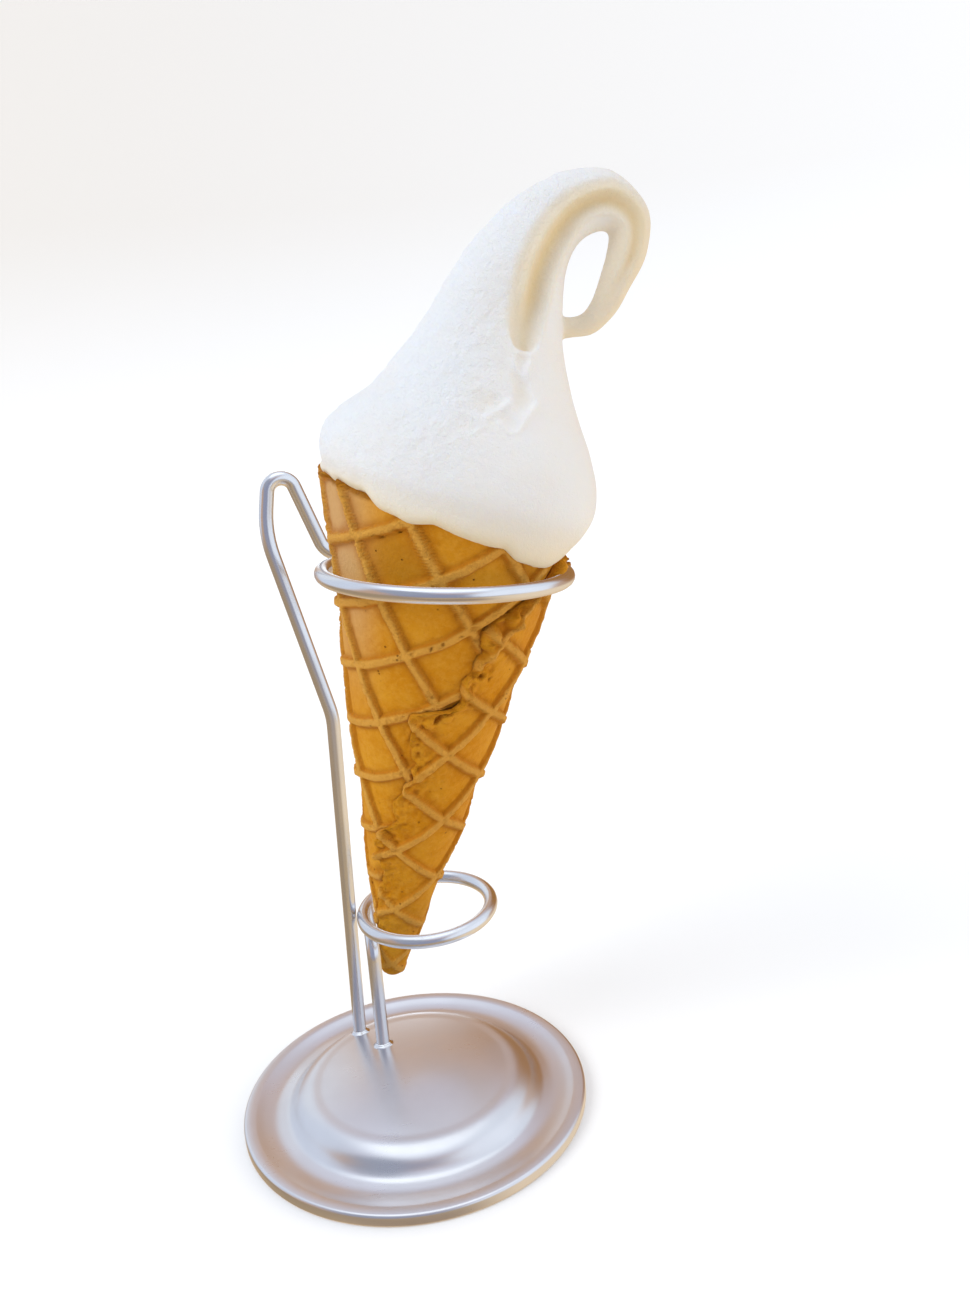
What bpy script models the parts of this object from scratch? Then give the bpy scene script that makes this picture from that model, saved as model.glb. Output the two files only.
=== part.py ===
"""Soft serve cone standing in a wire holder with a domed steel base.

Frame: +Z up, the origin at the centre of the base's flat underside, and -Y towards the
side that shows the wafer's rolled edge. Sizes below are in millimetres.
"""
import math

import bmesh
import bpy
import numpy as np
from mathutils import Matrix, Vector

MM = 0.001
GAP = 0.35                       # clearance between pieces that touch in the real thing
PLUG_GAP = 0.6                   # the same between the ice cream and the wafer round it

# Base: one turned steel dish with a rolled hem round a flat bottom plate.
BASE_R = 47.5
HEM_H = 3.4
HEM_R = 0.8                      # rounding of the hem's two edges
FLANGE_IN_R = 38.6               # where the flat flange turns down into the groove
FLANGE_IN_Z = 3.0
GROOVE_R = 36.3
GROOVE_Z = 2.3
DOME_FOOT_R = 34.6
WALL_LOW = (33.7, 4.0)           # two points on the steep wall
WALL_HIGH = (32.0, 6.7)
KNEE_R = 29.6                    # where the steep wall turns into the crown
KNEE_Z = 8.6
CROWN_Z = 10.6
SEAM_IN_R = 44.6                 # the bottom plate's edge, a shallow groove underneath
SEAM_W = 0.5
SEAM_D = 0.4
BASE_STEPS = 48

# Wires.
WIRE_D = 3.8
RING_POINTS = 46

# Upper ring, with the hook and the long leg, is one bent wire.
UPPER_C = (21.7, -0.3, 148.4)
UPPER_R = 30.4
UPPER_TILT = (0.098, -0.002)     # slope of the ring's normal towards +X and +Y
UPPER_END = 123.0                # angle of the ring's cut end, beside the wire it starts from
LEG_A = (-14.5, 23.7)            # foot of the long leg on the dome
LEG_A_BEND = (-11.1, 24.4, 106.8)
HOOK_OUT = (-22.2, 26.0, 157.4)  # corner where the sloping limb turns upright
HOOK_TOP = (-21.5, 27.5, 201.9)  # corner of the tight top bend; the wire itself stays below
HOOK_IN_X = -7.0                 # corner where the wire turns level into the ring
TALL_BENDS = (22.0, 26.0, 4.8, 6.0)      # rounding of those four corners, from the foot up

# Lower ring with the short leg welded under its left side.
LOWER_C = (9.2, 20.1, 47.4)
LOWER_R = 18.5
LOWER_TILT = (-0.026, -0.017)
LEG_B = (-7.8, 13.5)
LEG_B_BEND = (-7.5, 13.8, 41.0)
LEG_B_END = 160.0                # angle on the lower ring where the short leg meets it
SHORT_BEND = 7.0

# Weld beads round the feet of the legs.
BEAD_R = 3.3
BEAD_H = 1.3
FOOT_LIFT = 0.6                  # clearance under a leg's cut end

# Wafer cone: one rolled sheet. The axis runs from its virtual apex up through both rings,
# and every distance S is measured up the axis from that apex.
CONE_LOW = (0.75, 17.3, 47.4)
CONE_HIGH = (20.95, 0.8, 148.4)
CONE_LOW_R = 6.8                 # over the ridges
CONE_HIGH_R = 26.4
SKIN_IN = 0.5                    # depth of the sheet's smooth surface below the ridges
WALL = 2.6                       # wafer thickness below that surface
TIP_S = 17.5                     # blunt end of the rolled tip
TIP_ROUND = 2.2                  # length over which the tip's end is rounded
TIP_SOLID = 12.0                 # solid length of the tip
SHEET_STEP = 1.2                 # how far the outer edge of the roll stands proud
RIDGE_H = 0.6
RIDGE_W = 3.6
RELIEF_FULL_S = 74.0             # ridges and step fade out below this distance
GRID_PITCH = (16.4, 15.35)       # spacing of the two sets of ridges on the flat sheet
GRID_TURN = 34.0                 # angle of the first set to the sheet's centre line
GRID_START = (65.0, 65.2)
# Angle round the roll, and the angle of the flat sheet that lies there.
SHEET_TURN = ((-80.0, -92.3), (80.0, -62.7), (260.0, -18.5), (450.0, 16.6))
RIM_S = 154.5                    # mean distance of the oblique rim
RIM_SLOPE = 9.6                  # how much higher and lower the rim is on its two sides
RIM_HIGH_AT = -60.0              # angle of the rim's high side
# The roll's outer edge: distance S, and the angle it reaches there.
ROLL_EDGE = ((14, -70), (52, -50), (68, -46), (77, -26), (97, -14), (107, -15), (113, 9),
             (131, 20), (140, 38), (152, 66), (170, 84))
ROLL_EDGE_RAGGED = 2.2           # degrees

# Ice cream: stations of its curved core from the lip to the tip of the curl, each
# (x, z, tilt of its section in degrees, half width, half depth).
CREAM_Y = -5.0
CREAM = ((24.5, 166.3, 22.5, 32.0, 30.4), (26.2, 170.0, 20, 33.6, 32.0),
         (27.7, 176.4, 18, 33.3, 31.6), (29.4, 182.0, 17, 30.4, 29.6),
         (32.2, 188.8, 16, 25.0, 25.4), (34.8, 196.2, 16.5, 20.6, 21.2),
         (37.7, 203.9, 18, 16.8, 17.6), (41.4, 212.7, 23, 13.9, 14.7),
         (45.6, 220.6, 30, 11.2, 12.0), (51.4, 227.3, 46, 9.0, 9.6),
         (59.0, 231.2, 75, 7.5, 8.0), (66.6, 231.2, 107, 6.4, 6.8),
         (71.2, 226.6, 152, 5.2, 5.8), (70.6, 220.2, 182, 4.7, 5.2),
         (67.2, 213.2, 205, 3.7, 4.2), (63.6, 207.4, 220, 3.1, 3.4),
         (60.0, 204.6, 246, 2.7, 2.9), (54.9, 204.4, 268, 2.2, 2.4))
PLUG_S = 48.0                    # the ice cream fills the wafer from here up
LIP_UP = 0.9                     # the lip's underside above the rim
LIP_OUT = 0.5                    # and how far it reaches past the wafer

STEEL = (0.62, 0.62, 0.66, 1.0)
WAFER = (0.62, 0.34, 0.10, 1.0)
MILK = (0.93, 0.92, 0.90, 1.0)


def clear_scene():
    for obj in list(bpy.data.objects):
        bpy.data.objects.remove(obj, do_unlink=True)


def make_collection(name):
    coll = bpy.data.collections.new(name)
    bpy.context.scene.collection.children.link(coll)
    return coll


def make_material(name, colour, roughness, metallic):
    mat = bpy.data.materials.new(name)
    mat.use_nodes = True
    shader = mat.node_tree.nodes["Principled BSDF"]
    shader.inputs["Base Color"].default_value = colour
    shader.inputs["Roughness"].default_value = roughness
    shader.inputs["Metallic"].default_value = metallic
    return mat


def add_object(coll, name, data, material):
    obj = bpy.data.objects.new(name, data)
    coll.objects.link(obj)
    data.materials.append(material)
    return obj


def smooth(obj, angle=40.0):
    obj.data.shade_smooth()
    obj.data.set_sharp_from_angle(angle=math.radians(angle))


def loft(name, rings, closed_start, closed_end):
    """Skin a list of closed rings of points; a flagged end is drawn to its middle point."""
    bm = bmesh.new()
    rows = [[bm.verts.new(tuple(p * MM)) for p in ring] for ring in rings]
    count = len(rows[0])
    for low, high in zip(rows, rows[1:]):
        for i in range(count):
            j = (i + 1) % count
            bm.faces.new((low[i], low[j], high[j], high[i]))
    for flag, ring, row in ((closed_start, rings[0], rows[0]), (closed_end, rings[-1], rows[-1])):
        if flag:
            pole = bm.verts.new(tuple(np.mean(ring, axis=0) * MM))
            for i in range(count):
                bm.faces.new((pole, row[i], row[(i + 1) % count]))
    bmesh.ops.recalc_face_normals(bm, faces=bm.faces)
    mesh = bpy.data.meshes.new(name)
    bm.to_mesh(mesh)
    bm.free()
    return mesh


def decimate(obj, ratio):
    mod = obj.modifiers.new("thin_out", "DECIMATE")
    mod.ratio = ratio


# ---------------------------------------------------------------- base

def arc(centre, radius, start, end, steps):
    angles = np.radians(np.linspace(start, end, steps + 1))
    return [(centre[0] + radius * math.cos(a), centre[1] + radius * math.sin(a)) for a in angles]


def crown_height(r):
    """Height of the domed crown at radius r, out to its knee."""
    return CROWN_Z - (CROWN_Z - KNEE_Z) * (r / KNEE_R) ** 3


def base_profile():
    """Half section from the crown's centre, down the outside, to the underside's centre."""
    crown = [(r, crown_height(r)) for r in np.linspace(0.0, KNEE_R, 7)]
    groove = [(DOME_FOOT_R, FLANGE_IN_Z), (GROOVE_R, GROOVE_Z), (FLANGE_IN_R, FLANGE_IN_Z)]
    hem = arc((BASE_R - HEM_R, HEM_H - HEM_R), HEM_R, 90, 0, 3)
    hem += arc((BASE_R - HEM_R, HEM_R), HEM_R, 0, -90, 2)
    seam = [(SEAM_IN_R + SEAM_W, 0.0), (SEAM_IN_R + SEAM_W / 2, SEAM_D), (SEAM_IN_R, 0.0)]
    return crown + [WALL_HIGH, WALL_LOW] + groove + hem + seam + [(0.0, 0.0)]


def make_base(coll, material):
    points = base_profile()
    mesh = bpy.data.meshes.new("base")
    edges = [(i, i + 1) for i in range(len(points) - 1)]
    mesh.from_pydata([(r * MM, 0.0, z * MM) for r, z in points], edges, [])
    obj = add_object(coll, "base", mesh, material)
    screw = obj.modifiers.new("turn", "SCREW")
    screw.axis = "Z"
    screw.steps = BASE_STEPS
    screw.render_steps = BASE_STEPS
    screw.use_merge_vertices = True
    screw.merge_threshold = 0.00001
    screw.use_smooth_shade = True
    return obj


# ---------------------------------------------------------------- wires

def fillet_path(corners, radii, step=14.0):
    """A path through the corners, each inner one rounded to its radius."""
    points = [Vector(corners[0])]
    for k, radius in enumerate(radii):
        before, here, after = (Vector(c) for c in corners[k:k + 3])
        into, out = (here - before).normalized(), (after - here).normalized()
        turn = into.angle(out)
        normal = into.cross(out).normalized()
        centre = here - into * radius * math.tan(turn / 2) + normal.cross(into) * radius
        arm = here - into * radius * math.tan(turn / 2) - centre
        count = max(2, round(math.degrees(turn) / step))
        points += [centre + Matrix.Rotation(turn * i / count, 3, normal) @ arm
                   for i in range(count + 1)]
    points.append(Vector(corners[-1]))
    return points


def ring_point(centre, radius, tilt, angle):
    """A point on a ring whose normal leans by the given slopes; angle in degrees from +X."""
    normal = Vector((tilt[0], tilt[1], 1.0)).normalized()
    along = Vector((1.0, 0.0, -normal.x / normal.z)).normalized()
    across = normal.cross(along)
    a = math.radians(angle)
    return Vector(centre) + radius * (math.cos(a) * along + math.sin(a) * across)


def wire_curve(coll, name, points, material):
    curve = bpy.data.curves.new(name, "CURVE")
    curve.dimensions = "3D"
    curve.bevel_depth = WIRE_D / 2 * MM
    curve.bevel_resolution = 2
    curve.use_fill_caps = True
    spline = curve.splines.new("POLY")
    spline.points.add(len(points) - 1)
    for slot, point in zip(spline.points, points):
        slot.co = (*(point * MM), 1.0)
    return add_object(coll, name, curve, material)


def leg_foot(foot):
    """The lower end of a leg, just clear of the dome."""
    return (foot[0], foot[1], crown_height(math.hypot(*foot)) + FOOT_LIFT)


def make_tall_wire(coll, material):
    level_z = UPPER_C[2] + UPPER_TILT[0] * (UPPER_C[0] - HOOK_IN_X)
    back = ring_point(UPPER_C, UPPER_R, UPPER_TILT, 90)
    corners = [leg_foot(LEG_A), LEG_A_BEND, HOOK_OUT, HOOK_TOP, (HOOK_IN_X, back.y, level_z), back]
    points = fillet_path(corners, TALL_BENDS)
    points += [ring_point(UPPER_C, UPPER_R, UPPER_TILT, a)
               for a in np.linspace(90, UPPER_END - 360, RING_POINTS)[1:]]
    return wire_curve(coll, "tall_wire", points, material)


def curve_to_mesh(coll, curve_obj):
    """Replace a wire by its own closed mesh, so that it can be joined to another."""
    graph = bpy.context.evaluated_depsgraph_get()
    mesh = bpy.data.meshes.new_from_object(curve_obj.evaluated_get(graph))
    bm = bmesh.new()
    bm.from_mesh(mesh)
    bmesh.ops.remove_doubles(bm, verts=bm.verts, dist=0.00001)
    bm.to_mesh(mesh)
    bm.free()
    obj = bpy.data.objects.new(curve_obj.name, mesh)
    obj.matrix_world = curve_obj.matrix_world
    coll.objects.link(obj)
    bpy.data.objects.remove(curve_obj, do_unlink=True)
    return obj


def make_short_wire(coll, cutters, material):
    end = ring_point(LOWER_C, LOWER_R, LOWER_TILT, LEG_B_END)
    path = fillet_path([leg_foot(LEG_B), LEG_B_BEND, tuple(end)], (SHORT_BEND,))
    leg = curve_to_mesh(cutters, wire_curve(cutters, "short_leg", path, material))
    leg.hide_render = True
    leg.display_type = "WIRE"
    normal = Vector((LOWER_TILT[0], LOWER_TILT[1], 1.0)).normalized()
    bpy.ops.mesh.primitive_torus_add(
        major_segments=RING_POINTS, minor_segments=8, major_radius=LOWER_R * MM,
        minor_radius=WIRE_D / 2 * MM, location=Vector(LOWER_C) * MM,
        rotation=normal.to_track_quat("Z", "Y").to_euler())
    ring = bpy.context.active_object
    ring.name = "short_wire"
    ring.data.materials.append(material)
    for old in list(ring.users_collection):
        old.objects.unlink(ring)
    coll.objects.link(ring)
    weld = ring.modifiers.new("welded_leg", "BOOLEAN")
    weld.operation = "UNION"
    weld.object = leg
    return ring


def make_bead(coll, name, foot, material):
    """A low weld bead round a foot, tipped to lie along the dome."""
    inner, outer = WIRE_D / 2 + GAP, BEAD_R
    profile = [(inner, BEAD_H), (inner + 0.35, BEAD_H), (outer - 0.2, BEAD_H * 0.5),
               (outer, 0.0), (inner, 0.0)]
    mesh = bpy.data.meshes.new(name)
    edges = [(i, (i + 1) % len(profile)) for i in range(len(profile))]
    mesh.from_pydata([(r * MM, 0.0, z * MM) for r, z in profile], edges, [])
    obj = add_object(coll, name, mesh, material)
    screw = obj.modifiers.new("turn", "SCREW")
    screw.steps = 16
    screw.render_steps = 16
    screw.use_merge_vertices = True
    screw.merge_threshold = 0.00001
    radius = math.hypot(*foot)
    slope = (crown_height(radius + 1) - crown_height(radius - 1)) / 2
    normal = Vector((-slope * foot[0] / radius, -slope * foot[1] / radius, 1.0)).normalized()
    obj.rotation_euler = normal.to_track_quat("Z", "Y").to_euler()
    obj.location = Vector((foot[0], foot[1], crown_height(radius) + GAP)) * MM
    return obj


# ---------------------------------------------------------------- wafer cone

LOW, HIGH = np.array(CONE_LOW), np.array(CONE_HIGH)
AXIS = (HIGH - LOW) / np.linalg.norm(HIGH - LOW)
TAPER = (CONE_HIGH_R - CONE_LOW_R) / np.linalg.norm(HIGH - LOW)
APEX = LOW - AXIS * CONE_LOW_R / TAPER
FRONT = np.array((0.0, -1.0, 0.0)) - AXIS * -AXIS[1]
FRONT /= np.linalg.norm(FRONT)
SIDE = np.cross(FRONT, AXIS)
SIDE *= np.sign(SIDE[0])


def on_cone(s, radius, angle):
    """A point at distance s up the axis; angle in radians from the front towards +X."""
    out = np.sin(angle) * SIDE + np.cos(angle) * FRONT
    return APEX + s * AXIS + radius * out


def rim_s(angle):
    """Distance up the axis of the oblique, slightly wavy rim."""
    wave = 0.5 * np.sin(5 * angle + 0.6) + 0.35 * np.sin(9 * angle + 2.0)
    return RIM_S + RIM_SLOPE * np.cos(angle - math.radians(RIM_HIGH_AT)) + wave


def roll_edge(s):
    """Angle of the roll's outer edge at distance s, with its ragged outline."""
    stops, angles = zip(*ROLL_EDGE)
    ragged = ROLL_EDGE_RAGGED * (np.sin(s * 0.9) + 0.6 * np.sin(s * 2.3 + 1.0))
    return np.radians(np.interp(s, stops, angles) + ragged)


def skin(s):
    """Radius of the sheet's smooth surface."""
    return s * TAPER - SKIN_IN


def ridge_height(s, angle):
    """Raised height of the pressed grid; angle in radians, growing inwards along the roll."""
    stops, flats = zip(*SHEET_TURN)
    flat = math.radians(np.interp(math.degrees(angle), stops, flats))
    rho = s * math.hypot(1.0, TAPER)
    x, y = rho * math.sin(flat), rho * math.cos(flat)
    c, t = math.cos(math.radians(GRID_TURN)), math.sin(math.radians(GRID_TURN))
    height = 0.0
    for value, pitch, first in ((c * x + t * y, GRID_PITCH[0], GRID_START[0]),
                                (c * y - t * x, GRID_PITCH[1], GRID_START[1])):
        off = abs((value - first + pitch / 2) % pitch - pitch / 2)
        height = max(height, min(1.0, 1.5 - 2 * off / RIDGE_W))
    return RIDGE_H * height


def wafer_rings(columns=120, rows=96):
    """Rings of the wafer's outer surface, each starting on the roll's outer edge."""
    rings = []
    for level in np.linspace(0.0, 1.0, rows):
        ring = []
        for i in range(columns):
            turn = i / (columns - 1)
            angle = roll_edge(TIP_S + level * (RIM_S - TIP_S)) + 2 * math.pi * turn
            s = TIP_S + level * (rim_s(angle) - TIP_S)
            relief = SHEET_STEP * (1 - turn) + ridge_height(s, angle)
            radius = skin(s) + relief * min(1.0, s / RELIEF_FULL_S)
            radius *= math.sqrt(min(1.0, 0.3 + (s - TIP_S) / TIP_ROUND))
            if i == columns - 1:
                angle -= 0.02
            ring.append(on_cone(s, radius, angle))
        rings.append(ring)
    return rings


def make_wafer(coll, material):
    outer = wafer_rings()
    angles = [math.atan2((p - APEX) @ SIDE, (p - APEX) @ FRONT) for p in outer[-1]]
    floor_s = TIP_S + TIP_SOLID
    inner = []
    for level in (1.0, 0.66, 0.33, 0.0):
        ring = []
        for angle in angles:
            s = floor_s + level * (rim_s(angle) - floor_s)
            ring.append(on_cone(s, skin(s) - WALL + 0.5 * (1 - level), angle))
        inner.append(ring)
    mesh = loft("cone", [*outer, *inner], True, True)
    obj = add_object(coll, "cone", mesh, material)
    smooth(obj)
    decimate(obj, 0.135)
    return obj


# ---------------------------------------------------------------- ice cream

def spline(rows, samples):
    """Rows of values read along a Catmull-Rom curve through the given rows."""
    rows = np.array(rows, float)
    padded = np.vstack([2 * rows[0] - rows[1], rows, 2 * rows[-1] - rows[-2]])
    place = np.linspace(0, len(rows) - 1, samples)
    k = np.minimum(place.astype(int), len(rows) - 2)
    t = (place - k)[:, None]
    p0, p1, p2, p3 = (padded[k + i] for i in range(4))
    a, b, c = 2 * p0 - 5 * p1 + 4 * p2 - p3, 3 * p1 - p0 - 3 * p2 + p3, p2 - p0
    return 0.5 * (2 * p1 + c * t + a * t ** 2 + b * t ** 3)


def cream_rings(columns=64, samples=64):
    """Rings of the ice cream: the plug in the wafer, the lip over the rim, body and curl."""
    turns = np.linspace(0, 2 * math.pi, columns, endpoint=False)

    def cone_ring(level, out, lift=0.0):
        levels = [PLUG_S + level * (rim_s(a) - PLUG_S) + lift for a in turns]
        return [on_cone(s, skin(s) + out, a) for s, a in zip(levels, turns)]

    inset = -WALL - PLUG_GAP
    rings = [cone_ring(0.0, inset), cone_ring(0.5, inset), cone_ring(1.0, inset),
             cone_ring(1.0, inset, LIP_UP), cone_ring(1.0, LIP_OUT, LIP_UP)]
    for x, z, tilt, wide, deep in spline(CREAM, samples):
        lean = math.radians(tilt)
        across = np.array((math.cos(lean), 0.0, -math.sin(lean)))
        centre = np.array((x, CREAM_Y, z))
        ring = [centre + wide * math.sin(a) * across + deep * np.array((0.0, -math.cos(a), 0.0))
                for a in turns]
        rings.append(ring)
    return rings


def make_cream(coll, material):
    mesh = loft("ice_cream", cream_rings(), True, True)
    obj = add_object(coll, "ice_cream", mesh, material)
    smooth(obj)
    decimate(obj, 0.26)
    return obj


def main():
    clear_scene()
    parts = make_collection("soft_serve_cone")
    cutters = make_collection("cutters")
    steel = make_material("steel", STEEL, 0.30, 1.0)
    wafer = make_material("wafer", WAFER, 0.65, 0.0)
    milk = make_material("milk_ice", MILK, 0.40, 0.0)
    make_base(parts, steel)
    make_tall_wire(parts, steel)
    make_short_wire(parts, cutters, steel)
    make_bead(parts, "weld_bead_a", LEG_A, steel)
    make_bead(parts, "weld_bead_b", LEG_B, steel)
    make_wafer(parts, wafer)
    make_cream(parts, milk)


main()
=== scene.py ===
"""Looks for the soft serve cone in its wire holder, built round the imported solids.

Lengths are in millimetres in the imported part's frame: +Z up, the origin at the centre of
the base's flat underside, and -Y towards the side that shows the wafer's rolled edge.
"""
import itertools
import math

import bpy
import numpy as np
from mathutils import Matrix, Vector, kdtree


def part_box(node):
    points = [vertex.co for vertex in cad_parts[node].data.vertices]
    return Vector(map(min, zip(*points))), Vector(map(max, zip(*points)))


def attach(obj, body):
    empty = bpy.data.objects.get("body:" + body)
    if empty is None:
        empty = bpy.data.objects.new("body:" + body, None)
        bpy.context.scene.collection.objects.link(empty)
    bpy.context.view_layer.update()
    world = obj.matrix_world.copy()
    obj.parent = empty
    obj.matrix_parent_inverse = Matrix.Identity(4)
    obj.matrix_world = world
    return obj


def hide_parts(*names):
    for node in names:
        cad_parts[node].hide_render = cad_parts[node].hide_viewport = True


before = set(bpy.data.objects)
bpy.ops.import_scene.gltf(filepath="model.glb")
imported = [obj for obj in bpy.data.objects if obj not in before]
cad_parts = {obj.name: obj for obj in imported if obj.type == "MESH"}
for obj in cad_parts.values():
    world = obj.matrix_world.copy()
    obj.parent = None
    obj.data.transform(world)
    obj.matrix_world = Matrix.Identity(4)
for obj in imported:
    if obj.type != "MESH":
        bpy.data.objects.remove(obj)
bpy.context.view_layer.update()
MM = 0.001
rng = np.random.default_rng(7)
NOISE_CELLS = 32
NOISE_TABLES = rng.uniform(-1, 1, (6, NOISE_CELLS, NOISE_CELLS, NOISE_CELLS))

# Base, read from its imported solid.
BASE_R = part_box("base")[1].x / MM
CROWN_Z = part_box("base")[1].z / MM
HEM_H = 3.4
HEM_R = 0.8
WALL_HIGH, WALL_LOW, DOME_FOOT = (32.1, 6.3), (34.0, 3.95), (35.3, 2.95)
COVE_IN, COVE_OUT, FLANGE_IN = (36.9, 2.6), (39.0, 2.4), (41.4, 2.65)
KNEE_R, KNEE_Z = 29.6, 7.9
SEAM_IN_R, SEAM_W, SEAM_D = 44.6, 0.5, 0.4

# Wires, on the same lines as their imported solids.
WIRE_R = 1.9
UPPER_C, UPPER_R, UPPER_TILT, UPPER_END = (21.7, -0.3, 148.4), 30.4, (0.098, -0.002), 123.0
LEG_A, LEG_A_BEND = (-14.5, 23.7), (-11.1, 24.4, 106.8)
HOOK_OUT, HOOK_TOP, HOOK_IN_X = (-22.9, 26.0, 159.0), (-18.5, 27.5, 184.2), -7.7
TALL_BENDS = (22.0, 32.0, 3.8, 5.6)
LOWER_C, LOWER_R, LOWER_TILT = (9.2, 20.1, 47.4), 18.5, (-0.026, -0.017)
LEG_B, LEG_B_BEND, LEG_B_END, SHORT_BEND = (-7.8, 13.5), (-7.5, 13.8, 41.0), 160.0, 7.0
BEAD_R, BEAD_H = 3.3, 1.3

# Wafer cone. S is the distance up its axis from its virtual apex; angles are in degrees
# from the front (-Y) towards +X.
CONE_LOW, CONE_LOW_R = np.array((0.75, 17.3, 47.4)), 6.8
CONE_HIGH, CONE_HIGH_R = np.array((20.95, 0.8, 148.4)), 26.4
AXIS = (CONE_HIGH - CONE_LOW) / np.linalg.norm(CONE_HIGH - CONE_LOW)
TAPER = (CONE_HIGH_R - CONE_LOW_R) / np.linalg.norm(CONE_HIGH - CONE_LOW)
APEX = CONE_LOW - AXIS * CONE_LOW_R / TAPER
FRONT = np.array((0.0, -1.0, 0.0)) + AXIS * AXIS[1]
FRONT /= np.linalg.norm(FRONT)
SIDE = np.cross(AXIS, FRONT)
SKIN_IN = 0.3
TIP_S = 16.6
SHEET_STEP = 1.25                # rise of the roll over one turn
UNDER_MM = 3.0                   # how far the sheet runs on under the flap's edge
RIDGE_H = 1.35
RIDGE_TOP, RIDGE_FOOT = 0.75, 1.65    # half widths of a ridge
RELIEF_FULL_S = 72.0
FLARE = 2.4                      # how far the sheet is squeezed out over the ring at the right
MEAN_RIM_S = 155.0
GRID_TURN = 34.0
GRID_PITCH, GRID_START = (16.4, 15.35), (65.0, 65.2)
SHEET_TURN = ((-90.0, -94.2), (80.0, -62.7), (260.0, -18.5), (470.0, 20.3))
# Where the flap's edge runs: S, angle.
ROLL_EDGE = ((14, -70), (36, -61), (42, -57), (49, -48), (57, -37), (60.5, -40), (63, -48),
             (68, -46.5), (71, -43), (73.6, -30), (76.3, -20), (79, -26), (82, -26.5),
             (85, -18), (88.5, -16.5), (91, -9), (93.9, -12), (96, -8), (97.2, -12),
             (101, -15), (105, -13.7), (108.6, -16.5), (111, -15.6), (112.6, 0), (113.1, 10),
             (115.1, 15.4), (118.9, 13.5), (121.3, 13), (123.5, 18), (126.3, 17.8),
             (129, 21), (131, 18.8), (134.8, 18.2), (138, 24), (140.2, 34), (143, 44),
             (149, 57), (156, 70), (175, 90))
# The same line evened out, for the mesh away from the edge, and how far its bends reach.
SEAM_DRIFT = ((14, -68), (50, -46), (75, -32), (95, -14), (112, -4), (130, 18), (155, 68))
SEAM_REACH = 6.0
# How fat the flap's edge is, and how far it stands off the layer below: S, length.
EDGE_FAT = ((20, 0.2), (48, 0.3), (62, 0.6), (73, 0.6), (80, 0.3), (92, 0.5), (100, 0.35),
            (108, 0.7), (113, 0.9), (119, 0.5), (128, 0.35), (141, 0.5), (147, 1.1), (165, 1.2))
EDGE_LIFT = ((20, 0.0), (60, 0.15), (72, 0.3), (76, 0.05), (105, 0.05), (109, 0.4), (112.6, 1.15),
             (114.5, 0.9), (117, 0.25), (122, 0.08), (138, 0.1), (143, 0.35), (165, 0.35))
# Loose lumps of batter on the flap: (S, angle, half length, half width, lean, height).
LUMPS = ((132.6, 23.5, 4.2, 2.2, -12, 2.1), (129.0, 24.0, 2.2, 2.0, 0, 1.3),
         (137.7, 34.6, 3.2, 1.8, -35, 1.9), (125.6, 20.5, 2.6, 1.5, 0, 0.7),
         (119.5, 16.5, 2.0, 1.5, 0, 0.8), (109.6, -11.5, 1.9, 2.2, 20, 0.9),
         (108.9, -2.5, 1.6, 1.8, 0, 0.9), (110.7, 8.5, 1.7, 1.4, 0, 0.8),
         (104.0, -11.0, 2.4, 1.2, 0, 0.5), (92.6, -7.0, 1.5, 2.2, 30, 0.6),
         (87.0, -12.0, 2.0, 1.6, 0, 0.5), (80.5, -22.0, 2.6, 1.8, 0, 0.35),
         (71.5, -36.0, 1.7, 2.6, 30, 1.2), (67.5, -41.0, 1.6, 1.7, 0, 1.1),
         (63.5, -43.0, 1.7, 1.6, 0, 1.2), (68.5, -27.0, 1.5, 2.2, 40, 0.7),
         (59.8, -34.0, 1.5, 1.6, 0, 0.5), (148.2, 60.0, 3.6, 3.4, 0, 1.5))
# Burst bubbles and cracks: (S, angle, half length, half width, lean, depth). An angle past
# 300 is on the layer below the flap.
PITS = ((122.3, 24.2, 0.75, 1.05, 20, 1.5), (121.2, 31.6, 0.6, 0.6, 0, 0.9),
        (124.6, 29.4, 1.6, 1.5, 0, 0.4), (110.3, 2.6, 2.0, 0.75, 25, 1.5),
        (112.2, 9.0, 0.8, 0.8, 0, 1.2), (105.6, -12.3, 1.3, 0.8, 30, 1.0),
        (132.2, 375.6, 1.0, 0.6, -30, 0.7), (116.3, 355.7, 0.5, 1.2, 20, 0.5),
        (139.6, 363.5, 1.3, 0.6, 10, 0.5), (129.9, 352.7, 0.9, 0.4, 0, 0.6),
        (131.4, 358.6, 0.9, 0.35, 0, 0.5), (155.2, 322.8, 0.62, 1.45, 12, 0.8),
        (158.0, 331.7, 0.62, 1.3, 12, 0.8), (151.9, 306.4, 0.5, 0.65, 0, 0.7),
        (152.1, 309.2, 0.5, 0.6, 0, 0.6), (151.6, 303.6, 0.5, 0.6, 0, 0.5))
# Panels made darker: (S, angle, half length, half width). The first is painted shadow under the ice
# cream's overhanging lip.
DARKENED_PANELS = ((151.0, -30.0, 8.0, 10.0), (56.0, -45.0, 3.5, 3.0))
# Lower edge of the ice cream on the wafer: angle, S.
LIP_EDGE = ((-180, 149.7), (-150, 154.5), (-120, 159.3), (-90, 162.8), (-60, 163.9),
            (-44, 164.4), (-36, 161.9), (-23, 160.1), (-12, 161.3), (-6, 160.3),
            (4, 157.8), (18, 156.7), (25, 154.0), (37, 151.0), (49, 150.3), (60, 151.4),
            (75, 151.2), (90, 149.5), (120, 147.5), (150, 147.6), (180, 149.7))
# How far the wafer's rim stands above that edge: angle, length. Below zero it shows.
RIM_OVER = ((-180, 1.5), (-100, 1.2), (-80, 1.0), (-44, 0.8), (-33, 2.0), (46, 2.0),
            (54, 0.8), (64, 0.4), (74, -1.6), (92, -3.6), (106, -1.6), (120, 1.5), (180, 1.5))
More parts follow.
